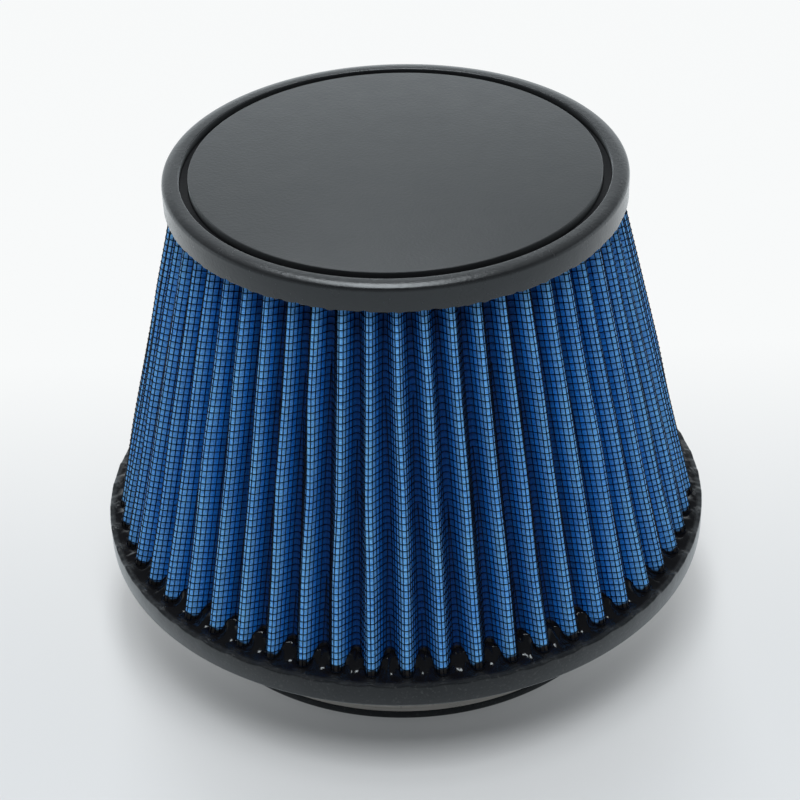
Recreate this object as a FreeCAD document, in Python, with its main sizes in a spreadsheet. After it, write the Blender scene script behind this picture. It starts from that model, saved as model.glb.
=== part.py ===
"""Conical pleated air filter with a clamp-on neck, standing mouth down on its neck."""
import FreeCAD, Part
import Sketcher
import math
import os

doc = FreeCAD.newDocument("air_filter")

# Driving sizes in millimetres, angles in degrees
SIZES = {
    # neck and base moulding
    "bore_radius": 50.8,
    "neck_wall": 6.2,
    "lip_reach": 0.7,
    "lip_height": 2.3,
    "base_radius": 75.2,
    "base_low": 20.7,
    "base_thickness": 5.8,
    "neck_bevel": 2.5,
    "edge_bevel": 0.5,
    # pleated pack
    "pleats": 55,
    "first_crest": 180.75,
    "base_margin": 2.35,
    "cap_overhang": 1.7,
    "pleat_depth": 5.5,
    "crest_round": 1.35,
    "root_round": 0.8,
    "screen_gauge": 0.35,
    "media_gauge": 0.75,
    "potted_depth": 3.6,
    "capped_depth": 2.8,
    # cap moulding
    "cap_radius": 53.6,
    "cap_top": 118.95,
    "cap_thickness": 6.05,
    "rim_width": 3.95,
    "groove_width": 2.1,
    "groove_depth": 2.05,
    "disc_rise": 0.15,
    # hose clamp
    "band_gap": 0.1,
    "band_width": 12.7,
    "band_gauge": 0.65,
    "tail_start": 83,
    "tail_angle": 34,
    "saddle_length": 15.0,
    "saddle_width": 11.0,
    "saddle_height": 8.6,
    "saddle_sink": 2.0,
    "worm_radius": 3.6,
    "worm_gap": 0.2,
    "worm_length": 19.0,
    "worm_overhang": 1.0,
    "head_flats": 8.0,
    "head_length": 4.5,
    "driver_slot": 1.2,
}

sheet = doc.addObject("Spreadsheet::Sheet", "Sizes")
for row, (alias, value) in enumerate(SIZES.items(), start=1):
    sheet.set("A%d" % row, alias)
    sheet.set("B%d" % row, str(value))
    sheet.setAlias("B%d" % row, alias)
doc.recompute()


def size(alias):
    """Current value of one named cell."""
    return float(sheet.get(alias))


def bound(formula):
    """The same formula, written so that another object can use it."""
    words = sorted(SIZES, key=len, reverse=True)
    marked = formula
    for number, word in enumerate(words):
        marked = marked.replace(word, "<%d>" % number)
    for number, word in enumerate(words):
        marked = marked.replace("<%d>" % number, "Sizes." + word)
    return marked


def value_of(formula):
    """Number that a formula gives with the present sizes."""
    return float(sheet.evalExpression(bound(formula)))


def origin_plane(body, role):
    return next(f for f in body.Origin.OriginFeatures if f.Role == role)


def new_body(label):
    body = doc.addObject("PartDesign::Body", label)
    body.Label = label
    return body


def closed_sketch(body, name, role, corners):
    """Sketch of straight lines through corners given as pairs of formulas."""
    sketch = body.newObject("Sketcher::SketchObject", name)
    sketch.AttachmentSupport = [(origin_plane(body, role), "")]
    sketch.MapMode = "FlatFace"
    points = [FreeCAD.Vector(value_of(across), value_of(up), 0) for across, up in corners]
    count = len(points)
    for i in range(count):
        sketch.addGeometry(Part.LineSegment(points[i], points[(i + 1) % count]), False)
    for i in range(count):
        sketch.addConstraint(Sketcher.Constraint("Coincident", i, 2, (i + 1) % count, 1))
    for i, (across, up) in enumerate(corners):
        for kind, formula, number in (("DistanceX", across, points[i].x), ("DistanceY", up, points[i].y)):
            index = sketch.addConstraint(Sketcher.Constraint(kind, -1, 1, i, 1, number))
            sketch.setExpression("Constraints[%d]" % index, bound(formula))
    return sketch


def revolved(body, name, corners):
    """Turned solid about Z from a profile of (radius, height) formulas."""
    sketch = closed_sketch(body, name + "_profile", "XZ_Plane", corners)
    turn = body.newObject("PartDesign::Revolution", name)
    turn.Profile = sketch
    turn.ReferenceAxis = (sketch, ["V_Axis"])
    turn.Angle = 360
    doc.recompute()
    return turn


def ring_edge(feature, radius, height):
    """Name of the circular edge at a radius and height, both formulas."""
    for number, edge in enumerate(feature.Shape.Edges, start=1):
        curve = edge.Curve
        if isinstance(curve, Part.Circle) and abs(curve.Radius - value_of(radius)) < 1e-4:
            if abs(curve.Center.z - value_of(height)) < 1e-4:
                return "Edge%d" % number
    raise ValueError("no edge at %s, %s" % (radius, height))


def bevelled(body, name, base, rings, width):
    """Chamfer on the circular edges listed as (radius, height) formulas."""
    chamfer = body.newObject("PartDesign::Chamfer", name)
    chamfer.Base = (base, [ring_edge(base, ring, height) for ring, height in rings])
    chamfer.setExpression("Size", bound(width))
    doc.recompute()
    return chamfer


# Levels and radii that several pieces share
pool_level = "base_low + base_thickness"
cap_low = "cap_top - cap_thickness"
tip_radius = "base_radius - base_margin"
tip_at_cap = "cap_radius - cap_overhang"
neck_radius = "bore_radius + neck_wall"

# Pleated pack

APEX = value_of(pool_level) + value_of(tip_radius) * (value_of(cap_low) - value_of(pool_level)) / (
    value_of(tip_radius) - value_of(tip_at_cap))


def pleat_outline(depth_in, crest_flats, root_flats):
    """Folded outline at pool level, set in by depth_in from the outer face of the pack.

    Crests and roots are arcs about fixed centres, stepped into flats, and the
    flanks are the straight lines between them. The first crest's angle is
    clockwise from +Y.
    """
    half_pitch = math.pi / size("pleats")
    crest_centre = value_of(tip_radius) - size("crest_round")
    root_centre = value_of(tip_radius) - size("pleat_depth") + size("root_round")
    across = root_centre * math.sin(half_pitch)
    inward = crest_centre - root_centre * math.cos(half_pitch)
    lean = math.atan2(across, inward) - math.asin(
        (size("crest_round") + size("root_round")) / math.hypot(across, inward))
    sweep = math.pi / 2 - lean
    crest = size("crest_round") - depth_in
    root = size("root_round") + depth_in
    points = []
    for pleat in range(int(size("pleats"))):
        middle = math.radians(size("first_crest")) + 2 * half_pitch * pleat
        for step in range(crest_flats + 1):
            turn = sweep * (2 * step / crest_flats - 1)
            points.append((middle, crest_centre + crest * math.cos(turn), crest * math.sin(turn)))
        root_sweep = sweep - half_pitch
        for step in range(root_flats + 1):
            turn = root_sweep * (1 - 2 * step / root_flats)
            points.append((middle + half_pitch, root_centre - root * math.cos(turn), -root * math.sin(turn)))
    return [(radial * math.sin(angle) + side * math.cos(angle),
             radial * math.cos(angle) - side * math.sin(angle)) for angle, radial, side in points]


def outline_at(outline, height):
    """Outline shrunk towards the apex of the cone at a height."""
    scale = (APEX - height) / (APEX - value_of(pool_level))
    return [FreeCAD.Vector(x * scale, y * scale, height) for x, y in outline]


def side_faces(start, end):
    """Flat faces between an outline and the same outline at another height."""
    count = len(start)
    faces = []
    for i in range(count):
        j = (i + 1) % count
        faces.append(Part.Face(Part.makePolygon([start[i], start[j], end[j], end[i], start[i]])))
    return faces


def end_face(outer, inner):
    """Flat folded face between two outlines at one height."""
    wires = [Part.makePolygon(outline + outline[:1]) for outline in (outer, inner)]
    return Part.makeFace(wires, "Part::FaceMakerBullseye")


def pleated_shell(outer, inner):
    """Solid between two folded outlines, from the potted foot to the capped end."""
    low = value_of(pool_level) - size("potted_depth")
    high = value_of(cap_low) + size("capped_depth")
    outer_low, outer_high = outline_at(outer, low), outline_at(outer, high)
    inner_low, inner_high = outline_at(inner, low), outline_at(inner, high)
    faces = side_faces(outer_high, outer_low) + side_faces(inner_low, inner_high)
    faces.append(end_face(outer_low, inner_low))
    faces.append(end_face(outer_high, inner_high))
    return Part.makeSolid(Part.makeShell(faces))


def pleated_object(label, outer, inner):
    piece = doc.addObject("Part::Feature", label)
    piece.Label = label
    piece.Shape = pleated_shell(outer, inner)
    piece.Placement = FreeCAD.Placement()
    return piece


outer_face = pleat_outline(0, 3, 1)
shared_face = pleat_outline(size("screen_gauge"), 3, 1)
inner_face = pleat_outline(size("screen_gauge") + size("media_gauge"), 1, 1)

screen = pleated_object("outer_screen", outer_face, shared_face)
media = pleated_object("filter_media", shared_face, inner_face)
pack = pleated_object("pack_envelope", outer_face, inner_face)


def potted(label, body):
    """Moulding cast round the end of the pack: the body less the pack's own shape."""
    cut = doc.addObject("Part::Cut", label)
    cut.Label = label
    cut.Base = body
    cut.Tool = pack
    return cut


# Base moulding: neck, flange and the pool that the pleats stand in

base_body = new_body("base_blank")
lip_radius = neck_radius + " + lip_reach"
base_turn = revolved(base_body, "base_turn", [
    ("bore_radius", "0"),
    (lip_radius, "0"),
    (lip_radius, "lip_height"),
    (neck_radius, "lip_height"),
    (neck_radius, "base_low"),
    ("base_radius", "base_low"),
    ("base_radius", pool_level),
    ("bore_radius", pool_level),
])
shoulder = bevelled(base_body, "shoulder", base_turn, [(neck_radius, "base_low")], "neck_bevel")
bevelled(base_body, "base_edge", shoulder, [("base_radius", "base_low")], "edge_bevel")
base = potted("base_flange", base_body)

# Cap moulding: rim, ring groove and raised centre disc

cap_body = new_body("cap_blank")
groove_outer = "cap_radius - rim_width"
groove_inner = "cap_radius - rim_width - groove_width"
groove_floor = "cap_top - groove_depth"
disc_top = "cap_top + disc_rise"
cap_turn = revolved(cap_body, "cap_turn", [
    ("0", cap_low),
    ("cap_radius", cap_low),
    ("cap_radius", "cap_top"),
    (groove_outer, "cap_top"),
    (groove_outer, groove_floor),
    (groove_inner, groove_floor),
    (groove_inner, disc_top),
    ("0", disc_top),
])
bevelled(cap_body, "rim_edge", cap_turn, [("cap_radius", "cap_top")], "edge_bevel")
cap = potted("top_cap", cap_body)

# Hose clamp: band with its lapped tail, saddle over the lap, worm screw

band_low = "lip_height + band_gap"
band_outer = neck_radius + " + band_gauge"

loop = doc.addObject("Part::Cylinder", "band_loop")
loop.setExpression("Radius", bound(band_outer))
tail = doc.addObject("Part::Cylinder", "band_tail")
tail.setExpression("Radius", bound(band_outer + " + band_gauge"))
tail.setExpression("Angle", bound("tail_angle"))
tail.Placement.Rotation = FreeCAD.Rotation(FreeCAD.Vector(0, 0, 1), size("tail_start"))
hollow = doc.addObject("Part::Cylinder", "band_hollow")
hollow.setExpression("Radius", bound(neck_radius))
for piece in (loop, tail, hollow):
    piece.setExpression("Height", bound("band_width"))
    piece.setExpression("Placement.Base.z", bound(band_low))
laps = doc.addObject("Part::Fuse", "band_laps")
laps.Base = loop
laps.Tool = tail
band = doc.addObject("Part::Cut", "clamp_band")
band.Label = "clamp_band"
band.Base = laps
band.Tool = hollow

lap_outer = neck_radius + " + 2 * band_gauge"
clamp_middle = band_low + " + band_width / 2"
worm_axis = lap_outer + " + worm_gap + worm_radius"

saddle_body = new_body("saddle_blank")
half_width = "saddle_width / 2"
saddle_sketch = closed_sketch(saddle_body, "saddle_section", "YZ_Plane", [
    (lap_outer + " - saddle_sink", clamp_middle + " - " + half_width),
    (lap_outer + " + saddle_height", clamp_middle + " - " + half_width),
    (lap_outer + " + saddle_height", clamp_middle + " + " + half_width),
    (lap_outer + " - saddle_sink", clamp_middle + " + " + half_width),
])
saddle_pad = saddle_body.newObject("PartDesign::Pad", "saddle_pad")
saddle_pad.Profile = saddle_sketch
saddle_pad.Midplane = True
saddle_pad.setExpression("Length", bound("saddle_length"))
doc.recompute()
crown_edges = []
for number, edge in enumerate(saddle_pad.Shape.Edges, start=1):
    ends = [vertex.Point for vertex in edge.Vertexes]
    if min(point.y for point in ends) > value_of(lap_outer) and abs(ends[0].x - ends[1].x) > 1:
        crown_edges.append("Edge%d" % number)
crown = saddle_body.newObject("PartDesign::Fillet", "saddle_crown")
crown.Base = (saddle_pad, crown_edges)
crown.setExpression("Radius", bound("worm_radius"))
doc.recompute()

worm = doc.addObject("Part::Cylinder", "worm_body")
worm.setExpression("Radius", bound("worm_radius"))
worm.setExpression("Height", bound("worm_length"))
head = doc.addObject("Part::Prism", "worm_head")
head.Polygon = 6
head.setExpression("Circumradius", bound("head_flats") + " / sqrt(3)")
head.setExpression("Height", bound("head_length"))
worm_start = "-saddle_length / 2 - worm_overhang"
for piece, start in ((worm, worm_start), (head, worm_start + " + worm_length")):
    piece.Placement.Rotation = FreeCAD.Rotation(FreeCAD.Vector(0, 1, 0), 90)
    piece.setExpression("Placement.Base.x", bound(start))
    piece.setExpression("Placement.Base.y", bound(worm_axis))
    piece.setExpression("Placement.Base.z", bound(clamp_middle))
screw_blank = doc.addObject("Part::Fuse", "screw_blank")
screw_blank.Base = worm
screw_blank.Tool = head
slot = doc.addObject("Part::Box", "driver_slot_cut")
slot.setExpression("Length", bound("head_length"))
slot.setExpression("Width", bound("2 * head_flats"))
slot.setExpression("Height", bound("driver_slot"))
slot.setExpression("Placement.Base.x", bound(worm_start + " + worm_length + head_length / 2"))
slot.setExpression("Placement.Base.y", bound(worm_axis + " - head_flats"))
slot.setExpression("Placement.Base.z", bound(clamp_middle + " - driver_slot / 2"))
screw = doc.addObject("Part::Cut", "clamp_screw")
screw.Label = "clamp_screw"
screw.Base = screw_blank
screw.Tool = slot

tunnel = doc.addObject("Part::Fuse", "saddle_tunnel")
tunnel.Base = laps
tunnel.Tool = worm
saddle = doc.addObject("Part::Cut", "clamp_saddle")
saddle.Label = "clamp_saddle"
saddle.Base = saddle_body
saddle.Tool = tunnel

doc.recompute()

# Check and write
nodes = [base, media, screen, cap, band, saddle, screw]
for item in doc.Objects:
    if "Invalid" in item.State or "Error" in item.State:
        raise RuntimeError("failed: " + item.Label)
os.makedirs("parts", exist_ok=True)
for node in nodes:
    shape = node.Shape
    if shape.isNull() or not shape.isValid():
        raise RuntimeError("bad shape: " + node.Label)
    shape.exportStep("parts/%s.step" % node.Label)
    print(node.Label, len(shape.Solids), round(shape.Volume, 1))
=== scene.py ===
"""Looks of the conical pleated air filter: castings, gauze, wire mesh, hose clamp and studio."""
import math

import bpy
import numpy as np
from mathutils import Matrix, Vector


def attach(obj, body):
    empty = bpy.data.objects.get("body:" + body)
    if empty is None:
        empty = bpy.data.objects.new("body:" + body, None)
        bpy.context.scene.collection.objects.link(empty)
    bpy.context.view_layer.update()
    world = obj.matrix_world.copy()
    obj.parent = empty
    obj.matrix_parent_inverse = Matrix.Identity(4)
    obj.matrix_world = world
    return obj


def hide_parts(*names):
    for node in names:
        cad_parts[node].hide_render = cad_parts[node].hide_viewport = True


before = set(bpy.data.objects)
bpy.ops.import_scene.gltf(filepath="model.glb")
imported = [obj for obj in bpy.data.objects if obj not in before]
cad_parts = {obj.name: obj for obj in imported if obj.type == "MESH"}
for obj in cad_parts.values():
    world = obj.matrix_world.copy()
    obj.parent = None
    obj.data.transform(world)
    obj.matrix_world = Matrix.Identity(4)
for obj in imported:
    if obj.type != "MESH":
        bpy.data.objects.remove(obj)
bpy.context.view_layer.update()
rng = np.random.default_rng(11)
MM = 0.001

# Sizes of the solids, in millimetres and radians
BORE = 50.8
NECK = 57.0
LIP = 57.7
LIP_HEIGHT = 2.3
BASE_RADIUS = 75.2
BASE_LOW = 20.7
POOL = 26.5
CAP_RADIUS = 53.6
CAP_LOW = 112.9
GROOVE_OUTER = 49.65
GROOVE_INNER = 47.55
GROOVE_FLOOR = 116.9
DISC_TOP = 119.1
PLEATS = 55
PHASE = math.radians(-0.75)
TIP = 72.85
TIP_AT_CAP = 51.9
DEPTH = 5.5
CREST_ROUND = 1.35
ROOT_ROUND = 0.8
SCREEN = 0.35
MEDIA = 0.75

# Sizes that follow from them
HALF_PITCH = math.pi / PLEATS
SLOPE = (TIP - TIP_AT_CAP) / (CAP_LOW - POOL)
APEX = POOL + TIP * (CAP_LOW - POOL) / (TIP - TIP_AT_CAP)

# Sizes of the drawn pieces alone, in millimetres
CAP_TOP = 119.05
HUB = 0.5
FLASH_HEIGHT = 1.5
BORE_EDGE = 0.6
INNER_TOP = 64.0
POOL_START = 64.8
BRIM = BASE_RADIUS - 0.5
PACK_LOW = POOL - 3.4
PACK_HIGH = CAP_LOW + 2.6
PLEAT_LEAN = 0.22
PLEAT_BULGE = 0.14
GAUZE_SINK = 0.05
THREAD_PITCH = 0.42
WIRE_RADIUS = 0.12
CROSS_PITCH = 1.65
CROSS_DEPTH = 0.12
CROSS_SKEW = 0.25
UPRIGHT_PITCH = 1.25
UPRIGHT_DEPTH = 0.22

# Set potting, in millimetres: where its skin meets the folds, and how far it soaks up past that
SKIN_ON_CREST = 0.5
SKIN_CLIMB = 2.8
SKIN_REACH = 5.0
SOAK = 0.35
SOAK_ON_CREST = 1.2

# The same in shares of the pleats' depth, counted from the crests inward
CLIMB_START = 0.36
CLIMB_SPAN = 0.5
SOAK_SPAN = 0.3

# Points of the meshes, and the span that random phases are drawn from
CAP_SEGMENTS = 440
STEPS_PER_PLEAT = 20
POOL_ROWS = 46
GAUZE_ROWS = 18
ANY_PHASE = 6.3

# Cool tint of the castings' sheen and reflections
CAST_TINT = (0.86, 0.95, 1, 1)


# Mesh helpers

def smooth_step(value):
    """Eased step from 0 to 1."""
    value = np.clip(value, 0, 1)
    return value * value * (3 - 2 * value)


def add_mesh(name, points, faces):
    """Smooth-shaded object from points in millimetres and a list of faces."""
    mesh = bpy.data.meshes.new(name)
    mesh.from_pydata((np.asarray(points) * MM).tolist(), [], faces)
    mesh.validate()
    mesh.update()
    mesh.polygons.foreach_set("use_smooth", [True] * len(mesh.polygons))
    obj = bpy.data.objects.new(name, mesh)
    bpy.context.scene.collection.objects.link(obj)
    return obj


def paint(obj, name, values):
    """Stores one number at each point, for the materials to read."""
    layer = obj.data.attributes.new(name, "FLOAT", "POINT")
    layer.data.foreach_set("value", np.asarray(values, np.float32).reshape(-1))


def grid_faces(rows, columns, first=0, wrap_rows=False, flip=False):
    """Quads between rings of points stored row by row."""
    faces = []
    for i in range(rows if wrap_rows else rows - 1):
        here = first + i * columns
        above = first + ((i + 1) % rows) * columns
        for j in range(columns):
            k = (j + 1) % columns
            quad = (here + j, here + k, above + k, above + j)
            faces.append(quad[::-1] if flip else quad)
    return faces


def round_corner(points, index, radius, steps):
    """Arc in place of one corner of a profile."""
    before, corner, after = (np.array(points[index + k], float) for k in (-1, 0, 1))
    into = (before - corner) / np.linalg.norm(before - corner)
    out = (after - corner) / np.linalg.norm(after - corner)
    half = math.acos(np.clip(into @ out, -1, 1)) / 2
    bisector = (into + out) / np.linalg.norm(into + out)
    centre = corner + bisector * radius / math.sin(half)
    start = corner + into * radius / math.tan(half) - centre
    end = corner + out * radius / math.tan(half) - centre
    total = math.acos(np.clip(start @ end / radius ** 2, -1, 1))
    arc = []
    for step in range(steps + 1):
        share = step / steps
        blend = (math.sin((1 - share) * total) * start + math.sin(share * total) * end) / math.sin(total)
        arc.append(tuple(centre + blend))
    return arc


def profile(corners, rounds, steps):
    """Profile of (radius, height) corners; rounds gives some corners, by their number, a radius."""
    points = []
    for index, corner in enumerate(corners):
        if index in rounds:
            points += round_corner(corners, index, rounds[index], steps)
        else:
            points.append(corner)
    return points


def lathe(ring, segments):
    """Grid of points of a (radius, height) profile turned about the axis."""
    angle = np.linspace(0, 2 * math.pi, segments, endpoint=False)
    radius, height = ring[:, None, 0], ring[:, None, 1]
    return np.stack([radius * np.sin(angle), -radius * np.cos(angle), np.repeat(height, segments, 1)], -1)


def ring_noise(count, waves, strength):
    """Smooth random heights round a ring, from waves that fit it the given numbers of times."""
    angle = np.linspace(0, 2 * math.pi, count, endpoint=False)
    total = np.zeros(count)
    for wave in waves:
        total += rng.normal() * np.cos(wave * angle + rng.uniform(0, ANY_PHASE))
    return strength * total / math.sqrt(len(waves))


def ripple(x, y, lengths, strength):
    """Random ripples over a surface, from waves of the given lengths in millimetres."""
    total = np.zeros_like(x)
    for length in lengths:
        way = rng.uniform(0, 2 * math.pi)
        turn = 2 * math.pi * (x * math.cos(way) + y * math.sin(way)) / length
        total += np.sin(turn + rng.uniform(0, ANY_PHASE))
    return strength * total / math.sqrt(len(lengths))


# Node helpers

def new_material(name):
    """Material, its node tree and its main shader."""
    material = bpy.data.materials.new(name)
    material.use_nodes = True
    return material, material.node_tree, material.node_tree.nodes["Principled BSDF"]


def put(tree, socket, value):
    """Gives an input a plain value, or links another node's output to it."""
    if isinstance(value, bpy.types.NodeSocket):
        tree.links.new(value, socket)
    else:
        socket.default_value = value


def set_inputs(tree, made, **inputs):
    """Sets a node's inputs by name, with underscores for the spaces."""
    for name, value in inputs.items():
        put(tree, made.inputs[name.replace("_", " ")], value)


def node(tree, kind, **inputs):
    """Adds a node and sets its inputs."""
    made = tree.nodes.new(kind)
    set_inputs(tree, made, **inputs)
    return made


def object_coordinates(tree):
    return node(tree, "ShaderNodeTexCoord").outputs["Object"]


def attribute(tree, name):
    """Number that a piece's points store under this name."""
    made = node(tree, "ShaderNodeAttribute")
    made.attribute_name = name
    return made.outputs["Fac"]


def noise(tree, vector, scale, detail=3.0, roughness=0.5):
    made = node(tree, "ShaderNodeTexNoise", Vector=vector, Scale=scale, Detail=detail, Roughness=roughness)
    return made.outputs["Fac"]


def ramp(tree, factor, low, high):
    """Colour that runs between two (place, colour) stops."""
    made = node(tree, "ShaderNodeValToRGB", Fac=factor)
    for element, (place, colour) in zip(made.color_ramp.elements, (low, high)):
        element.position = place
        element.color = (*colour, 1)
    return made.outputs["Color"]


def span(tree, value, low, high, to_low=0.0, to_high=1.0):
    """Value between low and high carried over to between to_low and to_high, and held there."""
    made = node(tree, "ShaderNodeMapRange", Value=value, From_Min=low, From_Max=high,
                To_Min=to_low, To_Max=to_high)
    return made.outputs["Result"]


def math_node(tree, operation, *values):
    made = node(tree, "ShaderNodeMath")
    made.operation = operation
    for socket, value in zip(made.inputs, values):
        put(tree, socket, value)
    return made.outputs["Value"]


def varied(tree, value, cloud, amount):
    """Value with the swings of a noise about its middle added to it."""
    swing = math_node(tree, "SUBTRACT", cloud, 0.5)
    return math_node(tree, "ADD", value, math_node(tree, "MULTIPLY", swing, amount))


def mixed(tree, share, first, second):
    """Blend of two colours, each a plain colour or a node's output."""
    made = node(tree, "ShaderNodeMix")
    made.data_type = "RGBA"
    put(tree, made.inputs[0], share)
    for socket, colour in ((made.inputs[6], first), (made.inputs[7], second)):
        put(tree, socket, (*colour, 1) if isinstance(colour, tuple) else colour)
    return made.outputs[2]


def mixed_value(tree, share, first, second):
    """Blend of two numbers, each a plain number or a node's output."""
    made = node(tree, "ShaderNodeMix")
    for socket, value in ((made.inputs[0], share), (made.inputs[2], first), (made.inputs[3], second)):
        put(tree, socket, value)
    return made.outputs[0]


def bump(tree, shader, height, strength, distance):
    made = node(tree, "ShaderNodeBump", Height=height, Strength=strength, Distance=distance)
    set_inputs(tree, shader, Normal=made.outputs["Normal"])


# Materials

def casting_material():
    """Cast black polyurethane: satin with faint mottling and fine pores, smoother on the rim; painted shade
    in the groove.
    """
    material, tree, shader = new_material("cast_polyurethane")
    place = object_coordinates(tree)
    mottle = noise(tree, place, 90.0, 5.0, 0.6)
    colour = ramp(tree, mottle, (0.3, (0.008, 0.0086, 0.0098)), (0.7, (0.012, 0.0128, 0.014)))
    rough = span(tree, attribute(tree, "rim"), 0, 1, 0.42, 0.26)
    rough = varied(tree, rough, noise(tree, place, 160.0, 4.0, 0.6), 0.16)
    # Painted shade: in the groove the reflection and sheen are turned down so that it reads darker
    groove_shade = attribute(tree, "groove_shade")
    set_inputs(tree, shader, Base_Color=colour, Roughness=rough)
    set_inputs(tree, shader, Specular_IOR_Level=span(tree, groove_shade, 0, 1, 0.5, 0.05), Specular_Tint=CAST_TINT)
    set_inputs(tree, shader, Sheen_Weight=span(tree, groove_shade, 0, 1, 0.4, 0.0), Sheen_Tint=CAST_TINT,
               Sheen_Roughness=0.4)
    bump(tree, shader, noise(tree, place, 1400.0), 0.12, 0.0004)
    return material


def potting_material():
    """The same casting where it set in the open: glossy in the pool, satin and dusty on the wall."""
    material, tree, shader = new_material("potting")
    place = object_coordinates(tree)
    wet = attribute(tree, "wet")
    mottle = noise(tree, place, 110.0, 5.0, 0.6)
    wall = ramp(tree, mottle, (0.3, (0.006, 0.0066, 0.0078)), (0.7, (0.009, 0.0098, 0.011)))
    dust = span(tree, noise(tree, place, 1500.0, 2.0), 0.58, 0.74)
    wall = mixed(tree, dust, wall, (0.034, 0.035, 0.036))
    colour = mixed(tree, wet, wall, (0.004, 0.004, 0.005))
    rough = span(tree, wet, 0, 1, 0.34, 0.10)
    rough = varied(tree, rough, noise(tree, place, 240.0, 4.0, 0.6), 0.08)
    set_inputs(tree, shader, Base_Color=colour, Roughness=rough)
    set_inputs(tree, shader, Specular_IOR_Level=span(tree, wet, 0, 1, 0.18, 0.5), Specular_Tint=CAST_TINT)
    set_inputs(tree, shader, Sheen_Weight=span(tree, wet, 0, 1, 0.45, 0.0), Sheen_Tint=CAST_TINT,
               Sheen_Roughness=0.45)
    bump(tree, shader, noise(tree, place, 900.0), 0.10, 0.0004)
    return material


def gauze_material():
    """Dyed cotton gauze: crossed threads and uneven dye, paler on the crests as painted highlight and
    darker towards the roots as painted shade, soaked dark at the potting.
    """
    material, tree, shader = new_material("blue_gauze")
    place = object_coordinates(tree)
    threads = node(tree, "ShaderNodeUVMap")
    threads.uv_map = "threads"
    split = node(tree, "ShaderNodeSeparateXYZ", Vector=threads.outputs["UV"])
    slub = noise(tree, place, 700.0)
    waves = []
    for axis in ("X", "Y"):
        turn = math_node(tree, "MULTIPLY", split.outputs[axis], 2 * math.pi / THREAD_PITCH)
        waves.append(math_node(tree, "SINE", varied(tree, turn, slub, 3.0)))
    weave = math_node(tree, "MAXIMUM", *waves)
    ribs = math_node(tree, "MULTIPLY", weave, 0.10)
    dye = math_node(tree, "MULTIPLY", noise(tree, place, 60.0, 4.0, 0.6), 0.35)
    fibre = math_node(tree, "MULTIPLY", noise(tree, place, 2600.0, 2.0), 0.65)
    shade = math_node(tree, "ADD", ribs, math_node(tree, "ADD", dye, fibre))
    deep = ramp(tree, shade, (0.30, (0.004, 0.100, 0.440)), (0.70, (0.018, 0.240, 0.820)))
    pale_painted_highlight = ramp(tree, shade, (0.30, (0.022, 0.215, 0.820)), (0.70, (0.230, 0.600, 1.000)))
    fold = attribute(tree, "fold")
    # Painted light: the colour darkens to near-black navy towards the roots as painted shade, and the
    # crests take the lighter ramp as painted highlight
    flank = mixed(tree, span(tree, fold, 0.0, 0.40), (0.0015, 0.030, 0.150), deep)
    colour = mixed(tree, span(tree, fold, 0.42, 0.74), flank, pale_painted_highlight)
    ragged = varied(tree, attribute(tree, "clear"), noise(tree, place, 330.0), 1.6)
    dry = span(tree, ragged, 0.1, 0.7)
    set_inputs(tree, shader, Base_Color=mixed(tree, dry, (0.014, 0.013, 0.013), colour),
               Roughness=span(tree, dry, 0, 1, 0.35, 0.8), Specular_IOR_Level=0.25)
    bump(tree, shader, weave, 0.35, 0.00012)
    return material


def wire_material():
    """Black coated wire, slightly uneven and glossy."""
    material, tree, shader = new_material("coated_wire")
    patch = noise(tree, object_coordinates(tree), 500.0)
    colour = ramp(tree, patch, (0.3, (0.0015, 0.0035, 0.009)), (0.75, (0.004, 0.006, 0.012)))
    set_inputs(tree, shader, Base_Color=colour, Roughness=span(tree, patch, 0.3, 0.7, 0.2, 0.38),
               Specular_IOR_Level=0.12)
    return material


def steel_material():
    """Rolled stainless strip: fine lines along the band and small scuffs."""
    material, tree, shader = new_material("clamp_steel")
    place = object_coordinates(tree)
    stretch = node(tree, "ShaderNodeMapping", Vector=place, Scale=(40.0, 40.0, 4000.0))
    lines = noise(tree, stretch.outputs["Vector"], 1.0)
    colour = ramp(tree, lines, (0.3, (0.52, 0.50, 0.47)), (0.7, (0.68, 0.66, 0.63)))
    scuff = noise(tree, place, 260.0, 5.0, 0.65)
    rough = span(tree, scuff, 0.35, 0.7, 0.24, 0.42)
    set_inputs(tree, shader, Base_Color=colour, Roughness=rough, Metallic=1.0)
    bump(tree, shader, lines, 0.15, 0.0001)
    return material


# Folded section of the pack

def fold_table():
    """Stations along one pleat from root to root: length, place across and out, and normal."""
    crest_steps, root_steps = 24, 16
    crest_centre = TIP - CREST_ROUND
    root_centre = TIP - DEPTH + ROOT_ROUND
    root_place = np.array([root_centre * math.sin(HALF_PITCH), root_centre * math.cos(HALF_PITCH)])
    across, inward = root_place[0], crest_centre - root_place[1]
    lean = math.atan2(across, inward) - math.asin((CREST_ROUND + ROOT_ROUND) / math.hypot(across, inward))
    sweep = math.pi / 2 - lean
    points, normals = [], []
    for turn in np.linspace(0, sweep, crest_steps):
        way = np.array([math.sin(turn), math.cos(turn)])
        points.append(np.array([0, crest_centre]) + CREST_ROUND * way)
        normals.append(way)
    for turn in np.linspace(sweep, HALF_PITCH, root_steps):
        way = np.array([math.sin(turn), math.cos(turn)])
        points.append(root_place - ROOT_ROUND * way)
        normals.append(way)
    points, normals = np.array(points), np.array(normals)
    length = np.concatenate([[0], np.cumsum(np.linalg.norm(np.diff(points, axis=0), axis=1))])
    mirror = np.array([-1, 1])
    return (np.concatenate([-length[:0:-1], length]),
            np.concatenate([points[:0:-1] * mirror, points]),
            np.concatenate([normals[:0:-1] * mirror, normals]))


FOLD_LENGTH, FOLD_PLACE, FOLD_NORMAL = fold_table()
HALF_FOLD = FOLD_LENGTH[-1]

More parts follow.
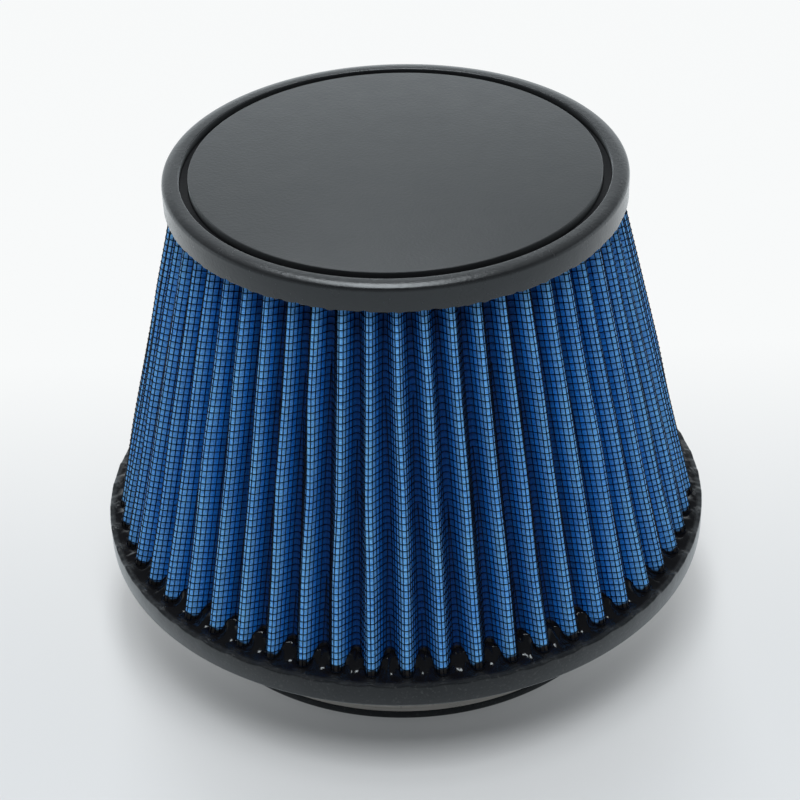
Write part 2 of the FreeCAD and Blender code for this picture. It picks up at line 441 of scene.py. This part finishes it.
# Each pleat leans and bulges a little, differently along its height, and leans less at its potted ends
KNOTS = 5
LEAN_KNOTS = rng.normal(0, PLEAT_LEAN, (PLEATS, KNOTS))
BULGE_KNOTS = rng.normal(0, PLEAT_BULGE, (PLEATS, KNOTS))
LEAN_KNOTS[:, [0, -1]] *= 0.4


def knot_value(knots, pleat, share):
    """Smooth value along a pleat's height from its knots."""
    count = knots.shape[1] - 1
    at = np.clip(share, 0, 1) * count
    low = np.minimum(at.astype(int), count - 1)
    part = smooth_step(at - low)
    return knots[pleat, low] * (1 - part) + knots[pleat, low + 1] * part


def on_pack(pleat, station, depth, height):
    """Points on the pack and their outward normals, for arrays that broadcast together."""
    pleat, station, depth, height = np.broadcast_arrays(pleat, station, depth, height)
    scale = (APEX - height) / (APEX - POOL)
    side = np.interp(station, FOLD_LENGTH, FOLD_PLACE[:, 0])
    out = np.interp(station, FOLD_LENGTH, FOLD_PLACE[:, 1])
    normal_side = np.interp(station, FOLD_LENGTH, FOLD_NORMAL[:, 0])
    normal_out = np.interp(station, FOLD_LENGTH, FOLD_NORMAL[:, 1])
    weight = np.clip((out - (TIP - DEPTH)) / DEPTH, 0, 1) ** 1.5
    share = (height - POOL) / (CAP_LOW - POOL)
    side = side * scale - depth * normal_side + weight * knot_value(LEAN_KNOTS, pleat, share)
    out = out * scale - depth * normal_out + weight * knot_value(BULGE_KNOTS, pleat, share)
    angle = PHASE + 2 * HALF_PITCH * pleat
    sine, cosine = np.sin(angle), np.cos(angle)
    place = np.stack([out * sine + side * cosine, -(out * cosine - side * sine), height], -1)
    normal = np.stack([normal_out * sine + normal_side * cosine,
                       -(normal_out * cosine - normal_side * sine), SLOPE * normal_out], -1)
    return place, normal / np.linalg.norm(normal, axis=-1, keepdims=True)


def fold_stations(crest, flank, root):
    """Stations of one pleat without its last point, from the counts on its crest, flank and root."""
    edge = CREST_ROUND * (math.pi / 2)
    foot = HALF_FOLD - ROOT_ROUND * 1.5
    half = np.concatenate([np.linspace(0, edge, crest), np.linspace(edge, foot, flank + 1)[1:],
                           np.linspace(foot, HALF_FOLD, root + 1)[1:]])
    return np.concatenate([-half[:0:-1], half])[:-1]


def contact(out):
    """Height above the pool's level at which the potting's skin meets the folds: it climbs the valleys."""
    share = (TIP - out) / DEPTH
    return SKIN_ON_CREST + SKIN_CLIMB * smooth_step((share - CLIMB_START) / CLIMB_SPAN)


def waterline(out):
    """Height to which the potting has soaked into the gauze: furthest above its skin on the crests."""
    share = (TIP - out) / DEPTH
    return contact(out) + SOAK + SOAK_ON_CREST * (1 - smooth_step(share / SOAK_SPAN))


# Gauze

def lay_threads(gauze, threads):
    """Stores each point's way along the folds and height, in millimetres, for the weave."""
    layer = gauze.data.uv_layers.new(name="threads")
    index = np.empty(len(gauze.data.loops), int)
    gauze.data.loops.foreach_get("vertex_index", index)
    layer.data.foreach_set("uv", threads[index].astype(np.float32).reshape(-1))


def build_gauze():
    """Folded sheet whose outer face reaches just into the screen's thickness."""
    stations = fold_stations(7, 4, 4)
    pleat = np.repeat(np.arange(PLEATS), len(stations))[None]
    station = np.tile(stations, PLEATS)[None]
    heights = np.linspace(PACK_LOW, PACK_HIGH, GAUZE_ROWS)[:, None]
    outer, _ = on_pack(pleat, station, SCREEN - GAUZE_SINK, heights)
    inner, _ = on_pack(pleat, station, SCREEN + MEDIA, heights)
    grid = np.concatenate([outer, inner[::-1]])
    heights = np.concatenate([heights, heights[::-1]])
    rows, columns = grid.shape[:2]
    gauze = add_mesh("gauze", grid.reshape(-1, 3), grid_faces(rows, columns, wrap_rows=True))
    along = pleat * 2 * HALF_FOLD + station
    lay_threads(gauze, np.stack(np.broadcast_arrays(along, heights), -1).reshape(-1, 2))
    # Share of the way from root to crest, which the gauze's colour uses for painted shade and painted
    # highlight
    paint(gauze, "fold", np.tile(1 - np.abs(station) / HALF_FOLD, (rows, 1)))
    paint(gauze, "clear", heights - POOL - waterline(np.interp(station, FOLD_LENGTH, FOLD_PLACE[:, 1])))
    gauze.data.materials.append(gauze_material())
    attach(gauze, "root")
    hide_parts("filter_media")


# Wire mesh

def tubes(name, paths, sides, closed, material):
    """Wires with a few sides along (points, normals) paths, joined in one object."""
    points, faces = [], []
    first = 0
    turns = math.pi / 2 + np.arange(sides) * 2 * math.pi / sides
    for place, normal in paths:
        count = len(place)
        ahead = np.roll(place, -1, 0) - np.roll(place, 1, 0)
        if not closed:
            ahead[0] = place[1] - place[0]
            ahead[-1] = place[-1] - place[-2]
        ahead /= np.linalg.norm(ahead, axis=1, keepdims=True)
        across = np.cross(ahead, normal)
        across /= np.linalg.norm(across, axis=1, keepdims=True)
        out = np.cross(across, ahead)
        ring = [place + WIRE_RADIUS * (math.sin(turn) * out + math.cos(turn) * across) for turn in turns]
        points.append(np.stack(ring, 1).reshape(-1, 3))
        faces += grid_faces(count, sides, first, wrap_rows=closed)
        if not closed:
            last = first + sides * (count - 1)
            faces.append(tuple(range(first + sides - 1, first - 1, -1)))
            faces.append(tuple(range(last, last + sides)))
        first += sides * count
    wires = add_mesh(name, np.concatenate(points), faces)
    wires.data.materials.append(material)
    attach(wires, "root")
    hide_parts("outer_screen")


def cross_wires():
    """Paths of the wires that run round the pack, over every fold and slightly askew."""
    stations = fold_stations(5, 2, 3)
    pleat = np.repeat(np.arange(PLEATS), len(stations))
    station = np.tile(stations, PLEATS)
    angle = 2 * HALF_PITCH * (pleat + station / (2 * HALF_FOLD))
    inward = TIP - np.interp(station, FOLD_LENGTH, FOLD_PLACE[:, 1])
    skew = rng.normal(0, CROSS_SKEW, (3, 2))
    drift = sum(a * np.cos(wave * angle) + b * np.sin(wave * angle) for wave, (a, b) in enumerate(skew, 1))
    lowest, highest = POOL + 0.6, CAP_LOW + 1.8
    paths = []
    for level in np.arange(lowest, highest, CROSS_PITCH / math.hypot(1, SLOPE)):
        drop = SLOPE * inward * (APEX - level) / (APEX - POOL)
        paths.append(on_pack(pleat, station, CROSS_DEPTH, level + drift - drop))
    return paths


def upright_wires():
    """Paths of the wires that run up the pack, cut off where the narrowing folds end."""
    most_each_side, fewest_heights, points = 7, 8, 9
    heights = np.linspace(POOL - 1.5, CAP_LOW + 1.0, 60)
    paths = []
    for pleat in range(PLEATS):
        shift = rng.uniform(0, 1)
        for number in range(-most_each_side, most_each_side):
            away = (number + shift) * UPRIGHT_PITCH * (APEX - POOL)
            kept = heights[np.abs(away / (APEX - heights)) < HALF_FOLD]
            if len(kept) >= fewest_heights:
                used = np.linspace(kept[0], kept[-1], points)
                paths.append(on_pack(pleat, away / (APEX - used), UPRIGHT_DEPTH, used))
    return paths


def build_screen():
    material = wire_material()
    across = cross_wires()
    half = len(across) // 2
    tubes("cross_wires_low", across[:half], 3, True, material)
    tubes("cross_wires_high", across[half:], 3, True, material)
    tubes("upright_wires", upright_wires(), 5, False, material)


# Cap

def rim_curve():
    """Outer part of the rim: a gentle crown that ends in a tight round."""
    crown, edge, lean = 5.5, 0.95, math.radians(18)
    middle = CAP_RADIUS - edge * (1 - math.sin(lean)) - crown * math.sin(lean)
    shoulder = (middle + crown * math.sin(lean), CAP_TOP - crown * (1 - math.cos(lean)))
    curve = [(middle + crown * math.sin(turn), CAP_TOP - crown * (1 - math.cos(turn)))
             for turn in np.linspace(0, lean, 6)]
    curve += [(shoulder[0] + edge * (math.sin(turn) - math.sin(lean)),
               shoulder[1] - edge * (math.cos(lean) - math.cos(turn)))
              for turn in np.linspace(lean, math.pi / 2, 9)[1:]]
    return curve


def build_cap():
    """Turned cap with a ring groove, an uneven lower edge, and a fan of faces round each pole."""
    inside = profile([(HUB, DISC_TOP), (GROOVE_INNER, DISC_TOP), (GROOVE_INNER, GROOVE_FLOOR),
                      (GROOVE_OUTER, GROOVE_FLOOR), (GROOVE_OUTER, CAP_TOP), (CAP_RADIUS, CAP_TOP)],
                     {1: 0.3, 2: 0.3, 3: 0.3, 4: 0.3}, 6)
    outside = profile([(CAP_RADIUS, CAP_TOP), (CAP_RADIUS, CAP_LOW), (HUB, CAP_LOW)], {1: 0.35}, 6)
    ring = np.array(inside[:-1] + rim_curve() + outside[1:])
    radius, height = ring.T
    grid = lathe(ring, CAP_SEGMENTS)
    low_edge = np.clip((CAP_LOW + FLASH_HEIGHT - height) / FLASH_HEIGHT, 0, 1) * (radius > CAP_RADIUS - 1)
    flash = ring_noise(CAP_SEGMENTS, (13, 22, 41, 70, 110, 160), 0.18)
    grid[..., 2] += low_edge[:, None] * flash[None]
    faces = grid_faces(len(ring), CAP_SEGMENTS, flip=True)
    top_pole = len(ring) * CAP_SEGMENTS
    low_pole = top_pole + 1
    last = (len(ring) - 1) * CAP_SEGMENTS
    for j in range(CAP_SEGMENTS):
        k = (j + 1) % CAP_SEGMENTS
        faces.append((top_pole, j, k))
        faces.append((low_pole, last + k, last + j))
    points = np.concatenate([grid.reshape(-1, 3), [[0, 0, DISC_TOP], [0, 0, CAP_LOW]]])
    cap = add_mesh("cap_casting", points, faces)
    # Points in the groove are marked for the casting's painted shade
    in_groove = (height > GROOVE_FLOOR - 0.1) & (height < CAP_TOP - 0.4) & (radius < GROOVE_OUTER + 0.1)
    for name, marked in (("rim", radius > GROOVE_OUTER), ("groove_shade", in_groove)):
        paint(cap, name, np.append(np.repeat(marked, CAP_SEGMENTS), [False, False]))
    cap.data.materials.append(casting_material())
    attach(cap, "root")
    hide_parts("top_cap")


# Base

def brim_rise(off_crest):
    """Rise of the brim: higher where a pleat's foot comes near it."""
    return 0.4 * np.exp(-(off_crest / 1.5) ** 2) + 0.1


def meniscus(radii, turns):
    """Rise of the set potting over one pleat's sector: a skin hung from the folds down to the brim."""
    rounds = 1500
    radius, turn = np.meshgrid(radii, turns, indexing="ij")
    side, out = np.abs(radius * np.sin(turn)), radius * np.cos(turn)
    to_crest = len(FOLD_LENGTH) // 2 + 1
    half_width = np.interp(out, FOLD_PLACE[:to_crest, 1], -FOLD_PLACE[:to_crest, 0])
    held = (out < TIP) & (side <= half_width) | (out < TIP - DEPTH)
    hold = contact(out)
    brim = brim_rise(np.abs(turns) * TIP)[None]
    step = np.gradient(radii)[:, None]
    arc = radius * (turns[1] - turns[0])
    stiffness = 2 / step ** 2 + 2 / arc ** 2 + 1 / SKIN_REACH ** 2
    rise = np.where(held, hold, 0.0)
    for _ in range(rounds):
        padded = np.concatenate([rise[:1], rise, brim])
        along = (padded[2:] + padded[:-2]) / step ** 2
        around = (np.roll(rise, 1, 1) + np.roll(rise, -1, 1)) / arc ** 2
        rise = np.where(held, hold, (along + around) / stiffness)
    return rise


def round_ring(sector, at):
    """Values of one pleat's sector read at the given steps across it."""
    steps = sector.shape[1]
    here = at.astype(int) % steps
    share = at - at.astype(int)
    return sector[:, here] * (1 - share) + sector[:, (here + 1) % steps] * share


def base_profile(inner_top, pool):
    """Closed profile of the base: inner top, pool, brim, wall, neck, lip and bore."""
    level = [(radius, POOL) for radius in (*inner_top, *pool)]
    rest = profile([(BRIM, POOL), (BASE_RADIUS, POOL), (BASE_RADIUS, BASE_LOW), (NECK, BASE_LOW),
                    (NECK, LIP_HEIGHT), (LIP, LIP_HEIGHT), (LIP, 0), (BORE, 0), (BORE, POOL - BORE_EDGE)],
                   {1: 0.35, 2: 0.7, 3: 2.5, 5: 0.4, 6: 0.5, 7: 0.4}, 4)
    return np.array(level + rest[1:])


def build_base():
    """Turned base whose set potting climbs the folds and whose brim is uneven."""
    inner_top = np.linspace(BORE + BORE_EDGE, INNER_TOP, 4)
    pool = np.linspace(POOL_START, BRIM, POOL_ROWS)
    first = len(inner_top)
    top = first + len(pool)
    ring = base_profile(inner_top, pool)
    segments = PLEATS * STEPS_PER_PLEAT
    grid = lathe(ring, segments)
    angle = np.linspace(0, 2 * math.pi, segments, endpoint=False)
    turn = (angle - PHASE) / (2 * HALF_PITCH) + 0.5
    pleat = np.floor(turn).astype(int) % PLEATS
    at = (turn - np.floor(turn)) * STEPS_PER_PLEAT
    off_crest = np.abs(at / STEPS_PER_PLEAT - 0.5) * 2 * HALF_PITCH * TIP
    sector = meniscus(pool, (np.arange(STEPS_PER_PLEAT) / STEPS_PER_PLEAT - 0.5) * 2 * HALF_PITCH)
    rise = round_ring(sector, at) * rng.normal(1, 0.10, PLEATS)[pleat]
    land = np.exp(-(off_crest / 1.4) ** 2) * np.clip(pool[:, None] - TIP + 0.5, 0, 1)
    rough = ripple(grid[first:top, :, 0], grid[first:top, :, 1], rng.uniform(0.5, 1.6, 26), 0.09)
    grid[first:top, :, 2] += rise + land * rough
    bumps = ring_noise(segments, (60, 83, 121, 160, 230, 310), 0.06)
    # The bumps fade in over the last of the pool and stop below the top of the wall
    near_edge = np.clip((ring[:, 0] - BASE_RADIUS) / 1.5 + 1.2, 0, 1) * (ring[:, 1] > POOL - 0.6)
    grid[..., 2] += near_edge[:, None] * bumps[None]
    grid[top:, :, 2] += near_edge[top:, None] * brim_rise(off_crest)[None]
    faces = grid_faces(len(ring), segments, wrap_rows=True, flip=True)
    base = add_mesh("base_casting", grid.reshape(-1, 3), faces)
    wet = np.zeros(grid.shape[:2])
    wet[:first] = 1
    wet[first:top] = (1 - 0.7 * land) * np.clip((BRIM - 0.3 - pool) / 0.8, 0, 1)[:, None]
    paint(base, "wet", wet)
    base.data.materials.append(potting_material())
    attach(base, "root")
    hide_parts("base_flange")


# Hose clamp

def dress_clamp():
    steel = steel_material()
    for name in ("clamp_band", "clamp_saddle", "clamp_screw"):
        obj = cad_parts[name]
        obj.data.materials.clear()
        obj.data.materials.append(steel)


# Studio

def floor_material():
    """White paper that runs into the backdrop: camera and glossy rays see more of a painted glow towards
    the back, and the glow is darker towards the front as painted falloff of light.
    """
    front, back = -0.10, 0.10
    material, tree, shader = new_material("paper_floor")
    set_inputs(tree, shader, Base_Color=(0.63, 0.65, 0.665, 1), Roughness=0.9, Specular_IOR_Level=0.1)
    along = node(tree, "ShaderNodeSeparateXYZ", Vector=object_coordinates(tree)).outputs["Y"]
    far = span(tree, along, front, back)
    # Painted light: the glow's colour darkens towards the front as painted falloff of light
    white = ramp(tree, far, (0.0, (0.66, 0.69, 0.71)), (1.0, (0.955, 0.968, 0.968)))
    glow = node(tree, "ShaderNodeEmission", Color=white)
    path = node(tree, "ShaderNodeLightPath")
    seen = math_node(tree, "MAXIMUM", path.outputs["Is Camera Ray"], path.outputs["Is Glossy Ray"])
    share = span(tree, along, front, back, 0.02, 0.93)
    share.node.interpolation_type = "SMOOTHSTEP"
    blend = node(tree, "ShaderNodeMixShader", Fac=math_node(tree, "MULTIPLY", seen, share))
    tree.links.new(shader.outputs["BSDF"], blend.inputs[1])
    tree.links.new(glow.outputs["Emission"], blend.inputs[2])
    tree.links.new(blend.outputs["Shader"], tree.nodes["Material Output"].inputs["Surface"])
    return material


def build_floor():
    reach = 3.0
    corners = [(-reach, -reach, 0), (reach, -reach, 0), (reach, reach, 0), (-reach, reach, 0)]
    mesh = bpy.data.meshes.new("studio_floor")
    mesh.from_pydata(corners, [], [(0, 1, 2, 3)])
    mesh.materials.append(floor_material())
    floor = bpy.data.objects.new("studio_floor", mesh)
    bpy.context.scene.collection.objects.link(floor)


def build_world():
    """Dark room with a white sweep behind and low grey walls in front; plain white to the camera."""
    dark = 0.08
    world = bpy.data.worlds.new("studio")
    bpy.context.scene.world = world
    world.use_nodes = True
    tree = world.node_tree
    way = node(tree, "ShaderNodeTexCoord").outputs["Generated"]
    split = node(tree, "ShaderNodeSeparateXYZ", Vector=way)
    sweep = span(tree, split.outputs["Z"], 0.36, 0.54, 1.30, dark)
    walls = span(tree, split.outputs["Z"], 0.35, 0.55, 0.42, dark)
    room = mixed_value(tree, span(tree, split.outputs["Y"], -0.25, 0.25), walls, sweep)
    seen = node(tree, "ShaderNodeLightPath").outputs["Is Camera Ray"]
    strength = mixed_value(tree, seen, room, 1.0)
    set_inputs(tree, tree.nodes["Background"], Color=(0.94, 0.98, 1, 1), Strength=strength)


def area_light(name, place, target, size, power):
    data = bpy.data.lights.new(name, "AREA")
    data.shape = "RECTANGLE"
    data.size, data.size_y = size
    data.energy = power
    light = bpy.data.objects.new(name, data)
    light.location = place
    light.rotation_euler = (Vector(target) - Vector(place)).to_track_quat("-Z", "Y").to_euler()
    bpy.context.scene.collection.objects.link(light)
    return light


def build_lights():
    """Narrow strip high behind, and a wide fill overhead that does not show in reflections."""
    area_light("key_softbox", (-0.03, 0.36, 1.03), (0, 0, 0.06), (0.24, 0.75), 5.2)
    overhead = area_light("overhead_fill", (0, -0.33, 1.12), (0, -0.10, 0), (0.6, 0.6), 9.5)
    overhead.visible_glossy = False


def build_camera():
    """Eye, tilt and roll found from the circles and pleat lines of the photograph."""
    eye = (0, -0.4063, 0.3386)
    tilt, yaw, roll = math.radians(35.11), math.radians(0.09), math.radians(1.88)
    forward = Vector((0, math.cos(tilt), -math.sin(tilt)))
    up = Vector((0, math.sin(tilt), math.cos(tilt)))
    right = Vector((1, 0, 0))
    across = math.cos(roll) * right - math.sin(roll) * up
    upward = math.sin(roll) * right + math.cos(roll) * up
    turn = Matrix((across, upward, -forward)).transposed()
    data = bpy.data.cameras.new("camera")
    data.sensor_width = 36.0
    data.lens = 90.0
    data.clip_start = 0.01
    camera = bpy.data.objects.new("camera", data)
    camera.matrix_world = Matrix.Translation(eye) @ (Matrix.Rotation(yaw, 3, "Z") @ turn).to_4x4()
    bpy.context.scene.collection.objects.link(camera)
    bpy.context.scene.camera = camera


build_gauze()
build_screen()
build_cap()
build_base()
dress_clamp()
build_floor()
build_world()
build_lights()
build_camera()

bpy.context.scene.view_settings.view_transform = "Standard"
